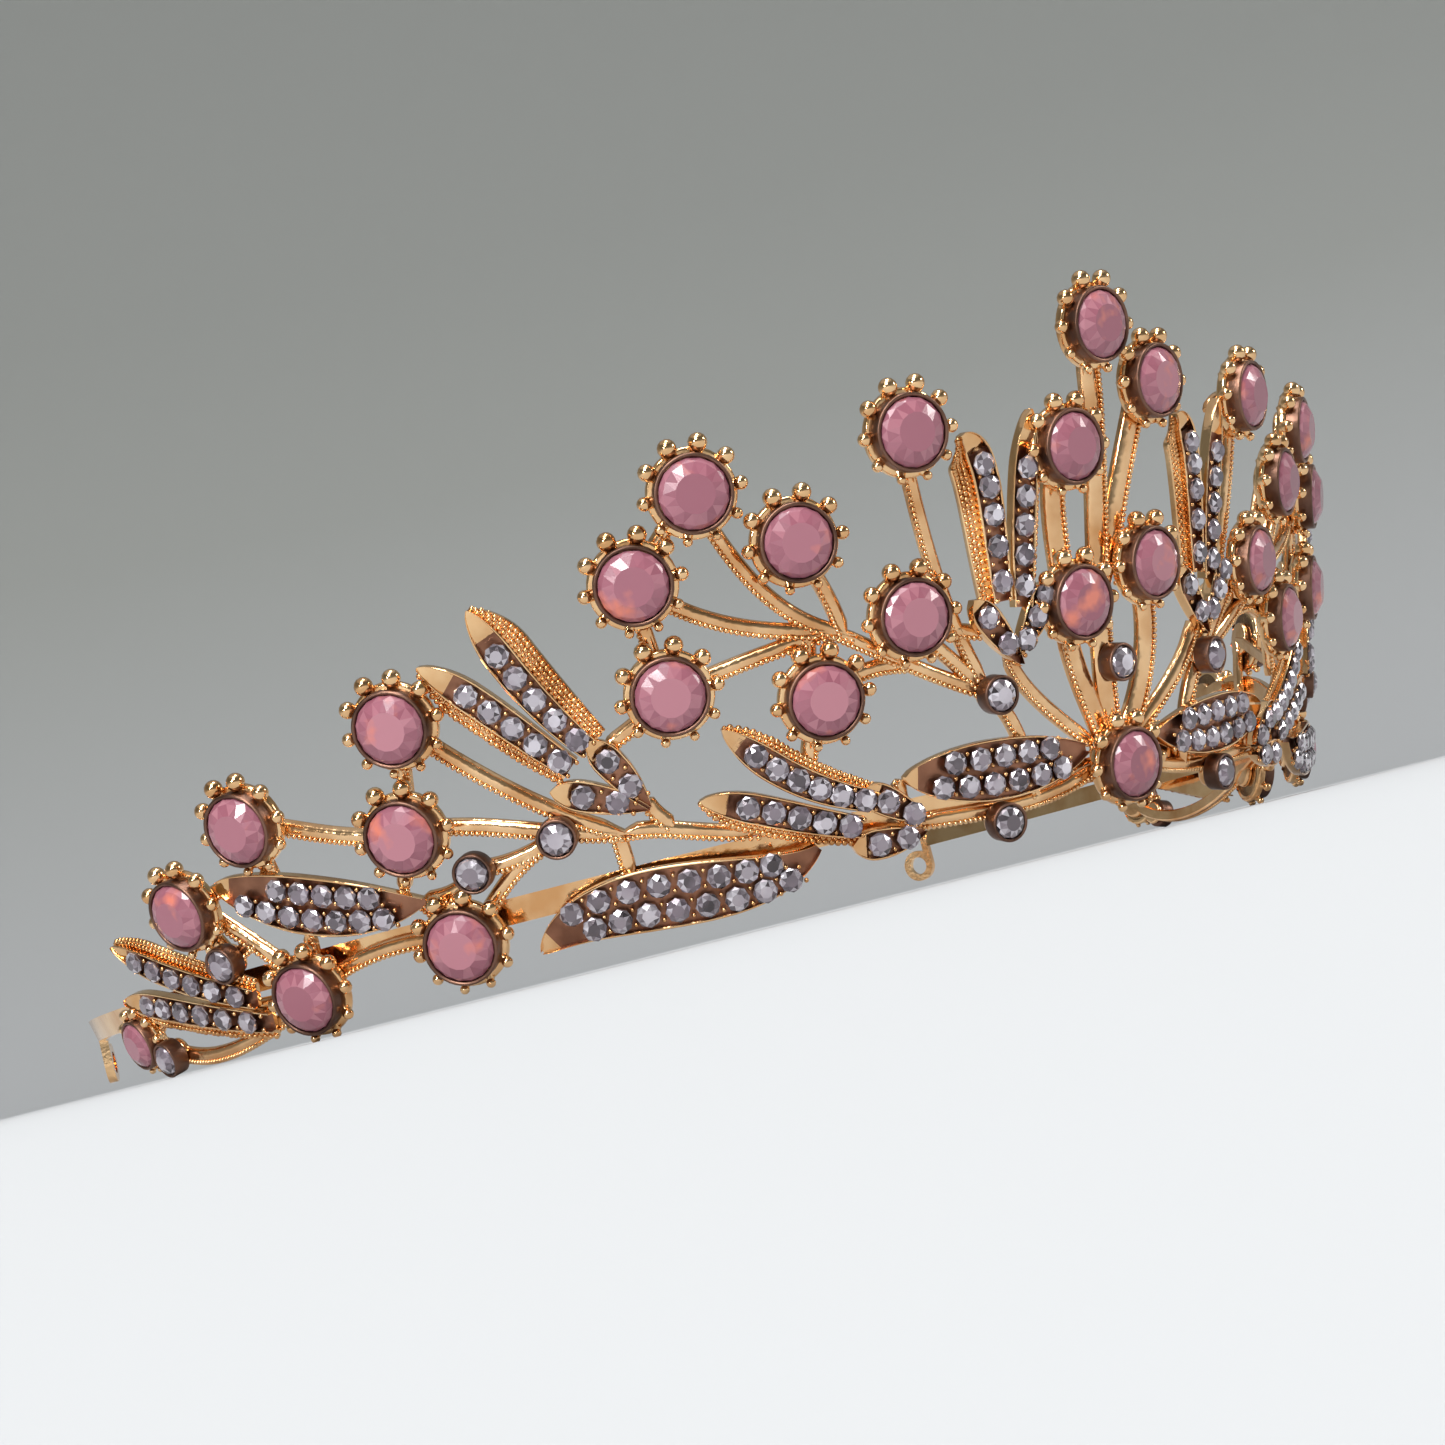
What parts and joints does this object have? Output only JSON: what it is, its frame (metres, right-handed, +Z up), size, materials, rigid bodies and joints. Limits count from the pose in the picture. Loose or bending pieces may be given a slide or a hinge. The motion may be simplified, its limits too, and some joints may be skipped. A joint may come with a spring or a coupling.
{
  "type": "bridal tiara",
  "caption": "Curved open-work bridal tiara: a slim head band carries leaning stems, walled leaves set with small stones, and clawed cups that hold round faceted stones.",
  "frame": {"origin": "middle of the plan outline, at the height of the lowest grains, on which the tiara stands", "axes": "+Z up, the front of the tiara faces -Y, +X is on the right of someone who faces it"},
  "size_m": [0.155, 0.1254, 0.0527],
  "materials": {
    "rose_gold": "polished",
    "opal": "faceted, milky",
    "crystal": "faceted, clear"
  },
  "bodies": {
    "root": {"base_band": "rose_gold", "stems_centre": "rose_gold", "cups_centre": "rose_gold", "stones_centre": "opal", "small_cups_centre": "rose_gold", "small_stones_centre": "crystal", "end_loop_left": "rose_gold", "stems_spray_left": "rose_gold", "stems_end_left": "rose_gold", "cups_spray_left": "rose_gold", "cups_end_left": "rose_gold", "stones_spray_left": "opal", "stones_end_left": "opal", "small_cups_left": "rose_gold", "small_stones_left": "crystal", "end_loop_right": "rose_gold", "stems_spray_right": "rose_gold", "stems_end_right": "rose_gold", "cups_spray_right": "rose_gold", "cups_end_right": "rose_gold", "stones_spray_right": "opal", "stones_end_right": "opal", "small_cups_right": "rose_gold", "small_stones_right": "crystal", "leaf_upper_sprig_left": "rose_gold", "pave_upper_sprig_left": "crystal", "leaf_lower_sprig_left": "rose_gold", "pave_lower_sprig_left": "crystal", "leaf_long_leaf_left": "rose_gold", "pave_long_leaf_left": "crystal", "leaf_front_leaf_left": "rose_gold", "pave_front_leaf_left": "crystal", "leaf_end_leaf_left": "rose_gold", "pave_end_leaf_left": "crystal", "leaf_upright_sprig_left": "rose_gold", "pave_upright_sprig_left": "crystal", "leaf_end_sprig_left": "rose_gold", "pave_end_sprig_left": "crystal", "leaf_upper_sprig_right": "rose_gold", "pave_upper_sprig_right": "crystal", "leaf_lower_sprig_right": "rose_gold", "pave_lower_sprig_right": "crystal", "leaf_long_leaf_right": "rose_gold", "pave_long_leaf_right": "crystal", "leaf_front_leaf_right": "rose_gold", "pave_front_leaf_right": "crystal", "leaf_end_leaf_right": "rose_gold", "pave_end_leaf_right": "crystal", "leaf_upright_sprig_right": "rose_gold", "pave_upright_sprig_right": "crystal", "leaf_end_sprig_right": "rose_gold", "pave_end_sprig_right": "crystal"}
  },
  "joints": []
}
